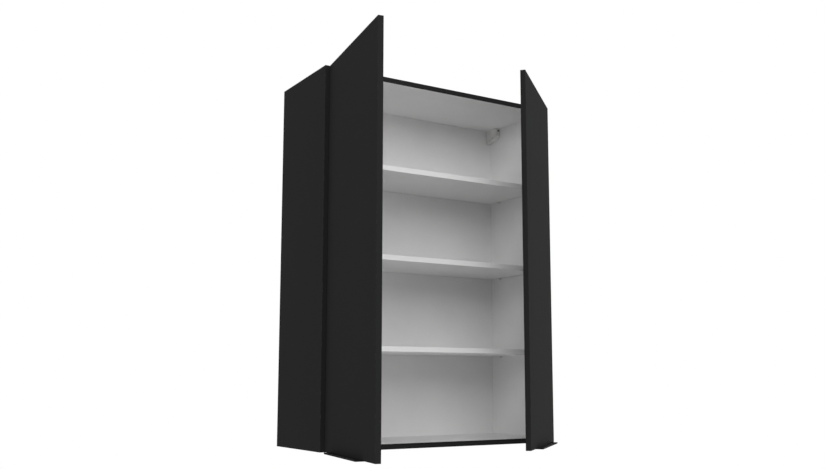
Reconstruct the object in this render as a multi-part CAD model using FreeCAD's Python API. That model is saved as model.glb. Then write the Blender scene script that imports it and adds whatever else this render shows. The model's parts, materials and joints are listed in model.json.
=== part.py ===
import FreeCAD, Part
import math
import os

Vec = FreeCAD.Vector
Z_AXIS = Vec(0, 0, 1)

# Tall wall cabinet with two slab doors on concealed cup hinges, shown with both doors open.
# Frame: X to the right, +Y towards the wall, Z up. The origin is the middle of the rear face.
# All lengths are in millimetres and all angles in degrees.

# Carcass
cabinet_width = 800.0
cabinet_height = 1075.0
carcass_depth = 288.0
panel_thickness = 15.0
back_thickness = 3.0
rebate_width = 7.0
back_side_clearance = 0.3
back_trim = 1.0
hole_clearance = 0.05
overrun = 2.0
alignment_share = 0.9
half_turn = 180.0

# Shelves and the pins under them
shelf_thickness = 15.0
shelf_setback = 20.0
shelf_side_clearance = 0.4
shelf_back_clearance = 0.4
shelf_height_shares = (0.254, 0.4995, 0.745)
pin_radius = 2.5
pin_hole_depth = 9.0
pin_head_radius = 3.8
pin_head_length = 8.0
pin_inset = 52.0

# Knock-down joints between the side panels and the top and bottom panels
cam_place_shares = (0.16, 0.84)
dowel_place_shares = (0.32, 0.68)
cam_radius = 7.4
cam_depth = 12.0
cam_backset = 24.0
cam_bore_clearance = 0.1
bolt_rod_radius = 2.8
bolt_rod_clearance = 0.3
bolt_neck_radius = 1.8
bolt_neck_length = 4.0
bolt_head_radius = 3.2
bolt_head_length = 3.0
bolt_thread_radius = 2.4
bolt_thread_length = 11.0
cam_slot_clearance = 0.4
cam_recess_depth = 3.0
cam_recess_length = 9.0
cam_recess_width = 1.6
dowel_radius = 4.0
dowel_length = 30.0
dowel_side_depth = 10.0
dowel_end_play = 0.5
dowel_chamfer = 0.8

# Countersunk screws that hold the back panel
back_screw_side_shares = (0.04, 0.27, 0.5, 0.73, 0.96)
back_screw_end_shares = (0.2, 0.5, 0.8)
back_screw_radius = 1.5
back_screw_head_radius = 2.8
back_screw_head_depth = 1.6
back_screw_length = 14.0

# Doors
reveal = 2.0
door_end_reveal = 1.5
centre_gap = 3.0
door_gap = 2.0
door_thickness = 15.0
door_edge_radius = 0.8
left_door_angle = 99.4
right_door_angle = 41.0
open_limit_angle = 106.0

# Door grips: a folded profile let into the door's inner face, which runs under its lower edge
grip_offset_share = 0.1513
grip_length_share = 0.6305
grip_thickness = 1.2
grip_projection = 20.0
grip_lip_height = 5.0
grip_leg_height = 18.0
grip_clearance = 0.2
grip_screw_shares = (0.08, 0.5, 0.92)

# Wood screws in the doors, for the hinge cups and the grips
door_screw_radius = 1.6
door_screw_head_radius = 3.0
door_screw_length = 10.0

# Bumpers
bumper_radius = 4.5
bumper_height = 1.5
bumper_inset = 18.0

# Concealed hinges: distance from the cabinet's ends, and the middle one's share of its height
hinge_end_height = 100.0
hinge_middle_share = 0.6093

# Hinge cup
cup_radius = 17.4
cup_bore_clearance = 0.1
cup_edge_distance = 3.0
cup_depth = 11.2
cup_wall = 1.0
flange_thickness = 1.0
flange_radius = 19.0
wing_half_length = 29.0
wing_half_width = 5.5
wing_offset = 5.5
wing_corner_radius = 4.0
wing_screw_spacing = 48.0

# Hinge pivots, with the door shut: from the side panel's inner face and front edge, or from the
# door's hinge edge and inner face
arm_pivot_inset = 23.39
arm_pivot_setback = 15.88
tail_pin_inset = 30.0
tail_pin_setback = 17.5
cup_pivot_edge = 8.45
cup_pivot_depth = 4.62
cup_pin_edge = 8.17
cup_pin_depth = 1.28
outer_link_turn_share = -0.2081
inner_link_turn_share = -0.2645
pivot_pin_radius = 1.0
pivot_clearance = 0.05

# Hinge links, pressed from strip
link_half_thickness = 1.5
link_eye_radius = 1.9
link_bend_edge = 15.38
link_bend_depth = 8.14
inner_cup_bend_edge = 20.95
inner_cup_bend_depth = 7.24
inner_tail_bend_edge = 25.53
inner_tail_bend_depth = 7.73
outer_link_low = -5.9
outer_link_high = 0.5
inner_link_low = 1.1
inner_link_high = 5.9
link_gap_level = 0.8
tail_slot_play = 0.45
tail_slot_wall = 1.3
travel_steps = 53

# Hinge arm and mounting plate
arm_cheek_low = 6.3
arm_cheek_high = 7.5
arm_nose_radius = 3.0
arm_tail_setback = 62.0
arm_spine_setback = 24.0
arm_spine_thickness = 1.2
arm_height = 18.0
arm_foot_height = 2.2
arm_screw_setback = 52.0
arm_screw_radius = 2.0
arm_screw_head_radius = 3.6
arm_screw_head_depth = 1.6
arm_screw_bite = 7.0
plate_base_thickness = 1.8
plate_rail_height = 9.0
plate_rail_half_width = 6.0
plate_rail_front_setback = 26.0
plate_wing_setback = 37.0
plate_wing_half_depth = 7.0
plate_wing_half_length = 24.0
plate_wing_corner_radius = 4.0
plate_screw_spacing = 32.0
plate_screw_radius = 2.5
plate_screw_head_radius = 4.2
plate_screw_head_depth = 1.5
plate_screw_length = 12.0

# Cabinet hangers in the upper rear corners
hanger_thickness = 18.0
hanger_depth = 58.0
hanger_front_height = 30.0
hanger_rear_height = 46.0
hanger_foot_depth = 14.0
hanger_edge_radius = 3.0
hanger_rim_radius = 1.5
hanger_roof = 3.0
hanger_front_wall = 3.0
cavity_half_width = 6.6
cavity_height_share = 0.8
slide_clearance = 0.3
carriage_length = 30.0
carriage_rear_inset = 8.0
hook_half_thickness = 1.5
hook_blade_length = 14.5
hook_blade_height = 10.0
hook_blade_drop = 9.0
hook_arm_height = 8.0
hook_reach = 9.0
claw_thickness = 3.0
claw_drop = 20.0
claw_way_share = 0.87
hook_slot_clearance = 0.3
lug_length = 8.0
lug_height = 6.0
lug_setback = 9.0
lug_width = 4.3
height_travel = 5.0
depth_travel = 6.0
depth_screw_drop = 9.0
depth_screw_radius = 2.0
depth_screw_head_radius = 3.4
depth_screw_head_depth = 2.2
depth_screw_bite = 9.0
height_screw_radius = 1.3
height_screw_head_radius = 2.2
height_screw_head_depth = 2.0
height_screw_tip = 2.0
hook_cutout_half_width = 5.5
hook_cutout_top = 3.0
hook_cutout_height = 36.0
housing_screw_setbacks = (7.0, 38.0)
housing_screw_drop_shares = (0.565, 0.261)
housing_screw_radius = 1.7
housing_screw_head_radius = 3.2
housing_screw_head_depth = 2.4
housing_screw_bite = 10.0

# Places worked out from the values above
half_width = cabinet_width / 2
half_height = cabinet_height / 2
inner_face = half_width - panel_thickness
back_inner = -back_thickness
front_plane = -carcass_depth
ceiling = half_height - panel_thickness
door_width = (cabinet_width - 2 * reveal - centre_gap) / 2
grip_start = reveal + door_width * grip_offset_share
grip_length = door_width * grip_length_share
door_low = door_end_reveal - half_height
door_high = half_height - door_end_reveal
hinge_heights = {
    "lower": hinge_end_height - half_height,
    "middle": cabinet_height * hinge_middle_share - half_height,
    "upper": half_height - hinge_end_height,
}
shelf_undersides = {
    name: cabinet_height * share - half_height
    for name, share in zip(("lower", "middle", "upper"), shelf_height_shares)
}
shelf_front = front_plane + shelf_setback
shelf_rear = back_inner - shelf_back_clearance
pin_places = (shelf_front + pin_inset, shelf_rear - pin_inset)
cam_places = [-carcass_depth * share for share in cam_place_shares]
dowel_places = [-carcass_depth * share for share in dowel_place_shares]
panel_middle = half_height - panel_thickness / 2
hanger_middle = inner_face - hanger_thickness / 2
hanger_front = back_inner - hanger_depth
cavity_height = hanger_front_height * cavity_height_share
hanger_floor = hanger_rear_height - hanger_roof - cavity_height
cavity_top = ceiling - hanger_roof
cavity_floor = cavity_top - cavity_height
carriage_rear = back_inner - carriage_rear_inset
carriage_front = carriage_rear - carriage_length
carriage_top = cavity_top - slide_clearance
carriage_floor = cavity_floor + slide_clearance
blade_front = carriage_rear - hook_blade_length
blade_top = ceiling - hook_blade_drop
blade_middle = blade_top - hook_blade_height / 2
lug_middle = carriage_rear - lug_setback
height_screw_place = hanger_middle + hook_half_thickness + lug_width / 2

# Hinge points in the hinge plan: x inwards from the side panel's outer face, y forwards from the
# carcass front, with the door shut
arm_pivot = Vec(panel_thickness + arm_pivot_inset, -arm_pivot_setback, 0)
tail_pin = Vec(panel_thickness + tail_pin_inset, -tail_pin_setback, 0)
cup_pivot = Vec(reveal + cup_pivot_edge, door_gap + cup_pivot_depth, 0)
cup_pin = Vec(reveal + cup_pin_edge, door_gap + cup_pin_depth, 0)
outer_bend = Vec(reveal + link_bend_edge, door_gap + link_bend_depth, 0)
inner_cup_bend = Vec(reveal + inner_cup_bend_edge, door_gap + inner_cup_bend_depth, 0)
inner_tail_bend = Vec(reveal + inner_tail_bend_edge, door_gap + inner_tail_bend_depth, 0)
cup_centre = Vec(reveal + cup_edge_distance + cup_radius + cup_bore_clearance, door_gap, 0)


def turned(point, angle):
    """A plan vector turned by an angle about the vertical."""
    return FreeCAD.Rotation(Z_AXIS, angle).multVec(point)


def cup_pivot_at(angle):
    """Where the cup's pivot stands when the door has turned by an angle."""
    return arm_pivot + turned(cup_pivot - arm_pivot, outer_link_turn_share * angle)


def cup_pin_at(angle):
    """Where the cup's second pin stands when the door has turned by an angle."""
    return cup_pivot_at(angle) + turned(cup_pin - cup_pivot, angle)


def tail_track():
    """Bearing, nearest and farthest distance of the tail pin along the inner link's slot."""
    bearings = []
    lengths = []
    for step in range(travel_steps + 1):
        angle = open_limit_angle * step / travel_steps
        reach = tail_pin - cup_pin_at(angle)
        bearing = math.degrees(math.atan2(reach.y, reach.x))
        bearings.append(bearing - inner_link_turn_share * angle)
        lengths.append(reach.Length)
    return (max(bearings) + min(bearings)) / 2, min(lengths), max(lengths)


def box(x0, x1, y0, y1, z0, z1):
    """A box between two corners."""
    return Part.makeBox(x1 - x0, y1 - y0, z1 - z0, Vec(x0, y0, z0))


def rod(start, direction, radius, length):
    """A cylinder from a point along a direction."""
    return Part.makeCylinder(radius, length, start, direction)


def prism(points, low, high):
    """A polygon in plan, given as vectors, raised between two levels."""
    corners = [Vec(p.x, p.y, low) for p in points]
    face = Part.Face(Part.makePolygon(corners + corners[:1]))
    return face.extrude(Vec(0, 0, high - low))


def strip(start, end, half_thickness, low, high):
    """A straight piece of strip with round ends between two plan points."""
    along = (end - start).normalize()
    across = Vec(-along.y, along.x, 0) * half_thickness
    solid = prism([start - across, end - across, end + across, start + across], low, high)
    for point in (start, end):
        solid = solid.fuse(eye(point, half_thickness, low, high))
    return solid


def eye(point, radius, low, high):
    """An upright cylinder at a plan point between two levels."""
    return rod(Vec(point.x, point.y, low), Z_AXIS, radius, high - low)


def merged(pieces):
    """Several overlapping solids as one clean solid."""
    return pieces[0].multiFuse(pieces[1:]).removeSplitter()


def bored(solid, tools):
    """A solid with several tools cut away."""
    return solid.cut(Part.makeCompound(tools)).removeSplitter()


def mirrored(shape):
    """The shape's twin on the other side of the cabinet's middle."""
    return shape.mirror(Vec(0, 0, 0), Vec(1, 0, 0))


def edges_along(solid, direction):
    """The solid's edges that run along a direction."""
    return [edge for edge in solid.Edges
            if abs(edge.tangentAt(edge.FirstParameter).dot(direction)) > alignment_share]


def countersunk(tip_direction, face_point, radius, head_radius, head_depth, length):
    """A countersunk screw whose head lies flush with a face."""
    cone = Part.makeCone(head_radius, radius, head_depth, face_point, tip_direction)
    return merged([cone, rod(face_point, tip_direction, radius, length)])


def both_sides(solids):
    """The solids and their mirror twins, as one group."""
    return Part.makeCompound(solids + [mirrored(solid) for solid in solids])


def cam_bolt(place):
    """A cam bolt in the upper right corner joint, at one depth."""
    head_start = inner_face - cam_backset - bolt_head_length / 2
    neck_end = head_start + bolt_head_length + bolt_neck_length
    start = Vec(head_start, place, panel_middle)
    along = Vec(1, 0, 0)
    rod_start = Vec(neck_end, place, panel_middle)
    return merged([
        rod(start, along, bolt_head_radius, bolt_head_length),
        rod(start, along, bolt_neck_radius, neck_end - head_start),
        rod(rod_start, along, bolt_rod_radius, inner_face - neck_end),
        rod(rod_start, along, bolt_thread_radius, inner_face + bolt_thread_length - neck_end),
    ])


def cam_lock(place):
    """A cam in the top panel, with the slot that grips the bolt's head."""
    centre = Vec(inner_face - cam_backset, place, half_height - cam_depth)
    body = rod(centre, Z_AXIS, cam_radius, cam_depth)
    slot_radius = bolt_head_radius + cam_slot_clearance
    slot_start = Vec(centre.x - slot_radius, place, panel_middle)
    slot = rod(slot_start, Vec(1, 0, 0), slot_radius, slot_radius + cam_radius + overrun)
    recess_low = half_height - cam_recess_depth
    half_length = cam_recess_length / 2
    half_slot = cam_recess_width / 2
    cross = [
        box(centre.x - half_length, centre.x + half_length, place - half_slot, place + half_slot,
            recess_low, half_height + overrun),
        box(centre.x - half_slot, centre.x + half_slot, place - half_length, place + half_length,
            recess_low, half_height + overrun),
    ]
    return bored(body, [slot] + cross)


def wooden_dowel(place):
    """A wooden dowel in the upper right corner joint."""
    start = Vec(inner_face + dowel_side_depth - dowel_length, place, panel_middle)
    body = rod(start, Vec(1, 0, 0), dowel_radius, dowel_length)
    rims = [edge for edge in body.Edges if edge.Closed]
    return body.makeChamfer(dowel_chamfer, rims)


def corner_bores():
    """The bores that the upper right corner's bolts, cams and dowels need."""
    along = Vec(1, 0, 0)
    bores = []
    for place in cam_places:
        cam_foot = Vec(inner_face - cam_backset, place, half_height - cam_depth)
        bores.append(rod(cam_foot, Z_AXIS, cam_radius + cam_bore_clearance, cam_depth + overrun))
        rod_start = Vec(inner_face - cam_backset, place, panel_middle)
        bores.append(rod(rod_start, along, bolt_rod_radius + bolt_rod_clearance, cam_backset))
        thread_start = Vec(inner_face, place, panel_middle)
        bores.append(rod(thread_start, along, bolt_thread_radius + hole_clearance,
                         bolt_thread_length + dowel_end_play))
    for place in dowel_places:
        start = Vec(inner_face + dowel_side_depth - dowel_length - dowel_end_play, place, panel_middle)
        bores.append(rod(start, along, dowel_radius + hole_clearance, dowel_length + 2 * dowel_end_play))
    return bores


def flipped(shape):
    """The shape's twin at the cabinet's lower end."""
    return shape.mirror(Vec(0, 0, 0), Vec(0, 0, 1))


def all_corners(solids):
    """The solids of the upper right corner and their twins in the other three corners."""
    return both_sides(solids + [flipped(solid) for solid in solids])


def back_screw_points():
    """Where the back panel's screws stand, on the rear plane."""
    ledge = inner_face + rebate_width / 2
    points = []
    for share in back_screw_side_shares:
        level = cabinet_height * share - half_height
        points.append(Vec(ledge, 0, level))
        points.append(Vec(-ledge, 0, level))
    for share in back_screw_end_shares:
        place = cabinet_width * share - half_width
        points.append(Vec(place, 0, panel_middle))
        points.append(Vec(place, 0, -panel_middle))
    return points


def back_screw(point, play):
    """A back panel screw, or its hole when it is given some play."""
    return countersunk(Vec(0, -1, 0), point, back_screw_radius + play,
                       back_screw_head_radius + play, back_screw_head_depth,
                       back_screw_length + play)


def shelf_pin(place, underside):
    """A shelf pin in the right side panel, with its head cut flat under the shelf."""
    axis_level = underside - pin_radius
    start = Vec(inner_face - pin_head_length, place, axis_level)
    head = rod(start, Vec(1, 0, 0), pin_head_radius, pin_head_length)
    shank = rod(start, Vec(1, 0, 0), pin_radius, pin_head_length + pin_hole_depth)
    crown = box(start.x - overrun, inner_face, place - pin_head_radius, place + pin_head_radius,
                underside, underside + pin_head_radius)
    return bored(merged([head, shank]), [crown])


def shelf_pins():
    """All shelf pins on the right side panel."""
    return [shelf_pin(place, level) for level in shelf_undersides.values() for place in pin_places]


def plate_screw_points():
    """Where the mounting plates' screws enter the right side panel."""
    place = front_plane + plate_wing_setback
    offsets = (-plate_screw_spacing / 2, plate_screw_spacing / 2)
    return [Vec(inner_face, place, level + offset)
            for level in hinge_heights.values() for offset in offsets]


def plate_screw(point):
    """A mounting plate's screw, with its head on the plate's wing."""
    seat = Vec(point.x - plate_base_thickness, point.y, point.z)
    head_start = Vec(seat.x - plate_screw_head_depth, point.y, point.z)
    along = Vec(1, 0, 0)
    return merged([
        rod(head_start, along, plate_screw_head_radius, plate_screw_head_depth),
        rod(head_start, along, plate_screw_radius, plate_screw_head_depth + plate_base_thickness
            + plate_screw_length),
    ])


def housing_screw_points():
    """Where the right hanger housing's screws stand on the side panel's inner face."""
    return [Vec(inner_face, back_inner - setback, cavity_floor - hanger_floor * share)
            for setback, share in zip(housing_screw_setbacks, housing_screw_drop_shares)]


def housing_screw(point, play):
    """A hanger housing's screw with its head sunk in the housing, or its hole."""
    head_start = Vec(point.x - hanger_thickness, point.y, point.z)
    along = Vec(1, 0, 0)
    return merged([
        rod(head_start, along, housing_screw_head_radius + play, housing_screw_head_depth),
        rod(head_start, along, housing_screw_radius + play,
            hanger_thickness + housing_screw_bite + play),
    ])


def right_side_panel():
    """The right side panel with its rear rebate and all its bores."""
    panel = box(inner_face, half_width, front_plane, 0, -half_height, half_height)
    tools = [box(inner_face - overrun, inner_face + rebate_width, back_inner, overrun,
                 -half_height - overrun, half_height + overrun)]
    corner = corner_bores()
    tools += corner + [flipped(bore) for bore in corner]
    along = Vec(1, 0, 0)
    for level in shelf_undersides.values():
        for place in pin_places:
            start = Vec(inner_face, place, level - pin_radius)
            tools.append(rod(start, along, pin_radius + hole_clearance, pin_hole_depth + dowel_end_play))
    for point in plate_screw_points():
        tools.append(rod(point, along, plate_screw_radius + hole_clearance,
                         plate_screw_length + hole_clearance))
    tools += [housing_screw(point, hole_clearance) for point in housing_screw_points()]
    tools += [back_screw(point, hole_clearance) for point in back_screw_points()]
    return bored(panel, tools)


def top_panel():
    """The top panel, let in between the side panels, with the cam pockets on its upper face."""
    panel = box(-inner_face, inner_face, front_plane, back_inner, ceiling, half_height)
    corner = corner_bores()
    tools = corner + [mirrored(bore) for bore in corner]
    tools += [back_screw(point, hole_clearance) for point in back_screw_points()]
    return bored(panel, tools)


def back_panel():
    """The thin back panel with its screw holes and the cut-outs for the hanger hooks."""
    reach = inner_face + rebate_width - back_side_clearance
    panel = box(-reach, reach, back_inner, 0, back_trim - half_height, half_height - back_trim)
    top = ceiling - hook_cutout_top
    cutout = box(hanger_middle - hook_cutout_half_width, hanger_middle + hook_cutout_half_width,
                 back_inner - overrun, overrun, top - hook_cutout_height, top)
    tools = [cutout, mirrored(cutout)]
    tools += [back_screw(point, hole_clearance) for point in back_screw_points()]
    return bored(panel, tools)


def shelf(underside):
    """One shelf."""
    reach = inner_face - shelf_side_clearance
    return box(-reach, reach, shelf_front, shelf_rear, underside, underside + shelf_thickness)


def hinge_cup():
    """A hinge cup with its flange, wings and the two stub pins that carry the links."""
    forward = Vec(0, 1, 0)
    flange_start = cup_centre - forward * flange_thickness
    body = rod(cup_centre, forward, cup_radius, cup_depth)
    disc = rod(flange_start, forward, flange_radius, flange_thickness)
    wing_middle = cup_centre.x + wing_offset
    wing = box(wing_middle - wing_half_width, wing_middle + wing_half_width,
               flange_start.y, cup_centre.y, -wing_half_length, wing_half_length)
    wing = wing.makeFillet(wing_corner_radius, edges_along(wing, forward))
    well = rod(flange_start, forward, cup_radius - cup_wall, flange_thickness + cup_depth - cup_wall)
    shell = bored(merged([body, disc, wing]), [well])
    half_chord = cup_radius - cup_wall / 2
    pivot_reach = math.sqrt(half_chord ** 2 - (cup_pivot.x - cup_centre.x) ** 2)
    pin_reach = math.sqrt(half_chord ** 2 - (cup_pin.x - cup_centre.x) ** 2)
    pivot = eye(cup_pivot, pivot_pin_radius, -pivot_reach, link_gap_level)
    pin = eye(cup_pin, pivot_pin_radius, link_gap_level, pin_reach)
    holes = [door_screw(point, hole_clearance) for point in cup_screw_points()]
    return bored(merged([shell, pivot, pin]), holes)


def cup_screw_points():
    """Where a cup's two screws stand on its flange, at the hinge's own level."""
    place = cup_centre.x + wing_offset
    face = cup_centre.y - flange_thickness
    return [Vec(place, face, wing_screw_spacing / 2), Vec(place, face, -wing_screw_spacing / 2)]


def door_screw(point, play):
    """A countersunk wood screw that enters the door from its inner side, or its hole."""
    return countersunk(Vec(0, 1, 0), point, door_screw_radius + play,
                       door_screw_head_radius + play, flange_thickness, door_screw_length + play)


def outer_link():
    """The cranked outer link, from the arm's pivot to the cup's pivot."""
    low, high = outer_link_low, outer_link_high
    body = merged([
        strip(arm_pivot, outer_bend, link_half_thickness, low, high),
        strip(outer_bend, cup_pivot, link_half_thickness, low, high),
        eye(arm_pivot, link_eye_radius, low, high),
        eye(cup_pivot, link_eye_radius, low, high),
    ])
    bore = pivot_pin_radius + pivot_clearance
    return bored(body, [eye(arm_pivot, bore, low - overrun, high + overrun),
                        eye(cup_pivot, bore, low - overrun, high + overrun)])


def inner_link():
    """The cranked inner link, from the cup's second pin to a slotted tail round the arm's rear pin."""
    low, high = inner_link_low, inner_link_high
    bearing, nearest, farthest = tail_track()
    along = turned(Vec(1, 0, 0), bearing)
    slot_start = cup_pin + along * nearest
    slot_end = cup_pin + along * farthest
    slot_half_width = pivot_pin_radius + tail_slot_play
    body = merged([
        strip(cup_pin, inner_cup_bend, link_half_thickness, low, high),
        strip(inner_cup_bend, inner_tail_bend, link_half_thickness, low, high),
        strip(inner_tail_bend, slot_start, link_half_thickness, low, high),
        strip(slot_start, slot_end, slot_half_width + tail_slot_wall, low, high),
        eye(cup_pin, link_eye_radius, low, high),
    ])
    slot = strip(slot_start, slot_end, slot_half_width, low - overrun, high + overrun)
    bore = eye(cup_pin, pivot_pin_radius + pivot_clearance, low - overrun, high + overrun)
    return bored(body, [slot, bore])


def hinge_arm():
    """A hinge arm: two cheeks joined by a spine, with the pivot pin and the tail pin across them."""
    foot = panel_thickness + arm_foot_height
    top = panel_thickness + arm_height
    tail = -arm_tail_setback
    spine_end = -arm_spine_setback
    neck = Vec(top - arm_nose_radius, spine_end, 0)
    pieces = [box(top - arm_spine_thickness, top, tail, spine_end, -arm_cheek_high, arm_cheek_high)]
    for low, high in ((-arm_cheek_high, -arm_cheek_low), (arm_cheek_low, arm_cheek_high)):
        pieces.append(box(foot, top, tail, spine_end, low, high))
        pieces.append(strip(neck, arm_pivot, arm_nose_radius, low, high))
        pieces.append(strip(neck, tail_pin, arm_nose_radius, low, high))
        pieces.append(strip(arm_pivot, tail_pin, arm_nose_radius, low, high))
    pieces.append(eye(arm_pivot, pivot_pin_radius, -arm_cheek_high, arm_cheek_high))
    pieces.append(eye(tail_pin, pivot_pin_radius, -arm_cheek_high, arm_cheek_high))
    return bored(merged(pieces), [arm_screw(hole_clearance)])


def arm_screw(play):
    """The screw that clamps a hinge arm to its mounting plate, or its hole."""
    seat = Vec(panel_thickness + arm_height, -arm_screw_setback, 0)
    outwards = Vec(1, 0, 0)
    tip = panel_thickness + plate_rail_height - arm_screw_bite - play
    return merged([
        rod(seat, outwards, arm_screw_head_radius, arm_screw_head_depth),
        rod(Vec(tip, seat.y, 0), outwards, arm_screw_radius + play, seat.x - tip + arm_screw_head_depth / 2),
    ])


def mounting_plate():
    """A cross-shaped mounting plate: two screwed wings and the rail that the arm straddles."""
    rail = box(panel_thickness, panel_thickness + plate_rail_height, -arm_tail_setback,
               -plate_rail_front_setback, -plate_rail_half_width, plate_rail_half_width)
    wing_rear = -plate_wing_setback - plate_wing_half_depth
    wing_front = -plate_wing_setback + plate_wing_half_depth
    wing = box(panel_thickness, panel_thickness + plate_base_thickness, wing_rear, wing_front,
               -plate_wing_half_length, plate_wing_half_length)
    wing = wing.makeFillet(plate_wing_corner_radius, edges_along(wing, Vec(1, 0, 0)))
    holes = [arm_screw(hole_clearance)]
    for level in (-plate_screw_spacing / 2, plate_screw_spacing / 2):
        start = Vec(panel_thickness - overrun, -plate_wing_setback, level)
        holes.append(rod(start, Vec(1, 0, 0), plate_screw_radius + hole_clearance,
                         plate_base_thickness + 2 * overrun))
    return bored(merged([rail, wing]), holes)


def door_leaf():
    """A door, shut, with its hinge bores, screw holes and the rebate for the grip."""
    outer = door_gap + door_thickness
    leaf = box(reveal, reveal + door_width, door_gap, outer, door_low, door_high)
    rims = [edge for edge in leaf.Edges if abs(edge.CenterOfMass.y - outer) < door_edge_radius]
    leaf = leaf.makeFillet(door_edge_radius, rims)
    forward = Vec(0, 1, 0)
    tools = []
    for level in hinge_heights.values():
        lift = Vec(0, 0, level)
        tools.append(rod(cup_centre + lift - forward * overrun, forward, cup_radius + cup_bore_clearance,
                         cup_depth + cup_bore_clearance + overrun))
        tools += [door_screw(point + lift, hole_clearance) for point in cup_screw_points()]
    tools += [door_screw(point, hole_clearance) for point in grip_screw_points()]
    tools.append(box(grip_start - grip_clearance, grip_start + grip_length + grip_clearance,
                     door_gap - overrun, door_gap + grip_thickness,
                     door_low - overrun, door_low + grip_leg_height + grip_clearance))
    return bored(leaf, tools)


def grip_screw_points():
    """Where the grip's screws stand on its rear leg."""
    level = door_low + grip_leg_height / 2
    return [Vec(grip_start + grip_length * share, door_gap, level) for share in grip_screw_shares]


def grip():
    """The grip: a rear leg, a web under the door's edge and a projecting flange with a lip."""
    start = grip_start
    end = grip_start + grip_length
    tip = door_gap + door_thickness + grip_projection
    base = door_low - grip_thickness
    profile = merged([
        box(start, end, door_gap, door_gap + grip_thickness, base, door_low + grip_leg_height),
        box(start, end, door_gap, tip, base, door_low),
        box(start, end, tip - grip_thickness, tip, base, base + grip_lip_height),
    ])
    return bored(profile, [door_screw(point, hole_clearance) for point in grip_screw_points()])


def bumpers():
    """The two soft bumpers at the door's free edge."""
    place = reveal + door_width - bumper_inset
    return [rod(Vec(place, door_gap, level), Vec(0, -1, 0), bumper_radius, bumper_height)
            for level in (panel_middle, -panel_middle)]


def with_outer_link(shape, angle):
    """A shape turned with the outer link for a door angle."""
    moved = shape.copy()
    moved.rotate(arm_pivot, Z_AXIS, outer_link_turn_share * angle)
    return moved


def with_door(shape, angle):
    """A shape carried with the door for a door angle."""
    moved = shape.copy()
    moved.rotate(cup_pivot, Z_AXIS, angle)
    moved.translate(cup_pivot_at(angle) - cup_pivot)
    return moved


def with_inner_link(shape, angle):
    """A shape carried with the inner link for a door angle."""
    moved = shape.copy()
    moved.rotate(cup_pin, Z_AXIS, inner_link_turn_share * angle)
    moved.translate(cup_pin_at(angle) - cup_pin)
    return moved


def on_right(shape):
    """A hinge-plan shape set at the right side of the cabinet."""
    placed = shape.copy()
    placed.rotate(Vec(0, 0, 0), Z_AXIS, half_turn)
    placed.translate(Vec(half_width, front_plane, 0))
    return placed


def on_left(shape):
    """A hinge-plan shape set at the left side of the cabinet."""
    return mirrored(on_right(shape))


def lifted(shape, level):
    """A copy of a shape raised to a level."""
    raised = shape.copy()
    raised.translate(Vec(0, 0, level))
    return raised


def hanger_housing():
    """The right hanger housing: a moulded box, open to the rear, with a slanted lower front."""
    outline = [Vec(back_inner, ceiling, 0), Vec(hanger_front, ceiling, 0),
               Vec(hanger_front, ceiling - hanger_front_height, 0),
               Vec(back_inner - hanger_foot_depth, ceiling - hanger_rear_height, 0),
               Vec(back_inner, ceiling - hanger_rear_height, 0)]
    corners = [Vec(inner_face - hanger_thickness, p.x, p.y) for p in outline]
    face = Part.Face(Part.makePolygon(corners + corners[:1]))
    body = face.extrude(Vec(hanger_thickness, 0, 0))
    low_corners = [edge for edge in edges_along(body, Vec(1, 0, 0))
                   if edge.CenterOfMass.y < back_inner - overrun and edge.CenterOfMass.z < ceiling - overrun]
    body = body.makeFillet(hanger_edge_radius, low_corners)
    rim = [edge for edge in body.Edges
           if abs(edge.CenterOfMass.x - (inner_face - hanger_thickness)) < slide_clearance
           and edge.CenterOfMass.y < back_inner - overrun and edge.CenterOfMass.z < ceiling - overrun]
    body = body.makeFillet(hanger_rim_radius, rim)
    cavity = box(hanger_middle - cavity_half_width, hanger_middle + cavity_half_width,
                 hanger_front + hanger_front_wall, back_inner + overrun, cavity_floor, cavity_top)
    screw_hole = rod(Vec(hanger_middle, hanger_front - overrun, ceiling - depth_screw_drop), Vec(0, 1, 0),
                     depth_screw_radius + slide_clearance, hanger_front_wall + 2 * overrun)
    slot_half = height_screw_head_radius + slide_clearance
    slot_front = lug_middle - depth_travel - slot_half
    slot_rear = lug_middle + depth_travel + slot_half
    access = box(height_screw_place - slot_half, height_screw_place + slot_half, slot_front, slot_rear,
                 ceiling - hanger_rear_height - overrun, cavity_floor + overrun)
    claw_way = box(hanger_middle - hook_half_thickness - hook_slot_clearance,
                   hanger_middle + hook_half_thickness + hook_slot_clearance,
                   carriage_rear - depth_travel, back_inner + overrun,
                   cavity_floor - hanger_floor * claw_way_share, cavity_floor + overrun)
    holes = [housing_screw(point, hole_clearance) for point in housing_screw_points()]
    return bored(body, [cavity, screw_hole, access, claw_way] + holes)


def hanger_carriage():
    """The right hanger's carriage, with the hook's slot, the lug's pocket and two screw holes."""
    half = cavity_half_width - slide_clearance
    body = box(hanger_middle - half, hanger_middle + half, carriage_front, carriage_rear,
               carriage_floor, carriage_top)
    slot_half = hook_half_thickness + hook_slot_clearance
    slot = box(hanger_middle - slot_half, hanger_middle + slot_half, blade_front - hook_slot_clearance,
               carriage_rear + overrun, carriage_floor - overrun, carriage_top + overrun)
    lug_reach = lug_height / 2 + height_travel + slide_clearance
    pocket = box(hanger_middle, hanger_middle + half + overrun, lug_middle - lug_length / 2 - slide_clearance,
                 lug_middle + lug_length / 2 + slide_clearance, blade_middle - lug_reach,
                 blade_middle + lug_reach)
    depth_hole = rod(Vec(hanger_middle, carriage_front - overrun, ceiling - depth_screw_drop), Vec(0, 1, 0),
                     depth_screw_radius + hole_clearance, depth_screw_bite + depth_travel + 2 * overrun)
    height_hole = rod(Vec(height_screw_place, lug_middle, carriage_floor - overrun), Z_AXIS,
                      height_screw_radius + hole_clearance, cavity_height)
    return bored(body, [slot, pocket, depth_hole, height_hole])


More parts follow.
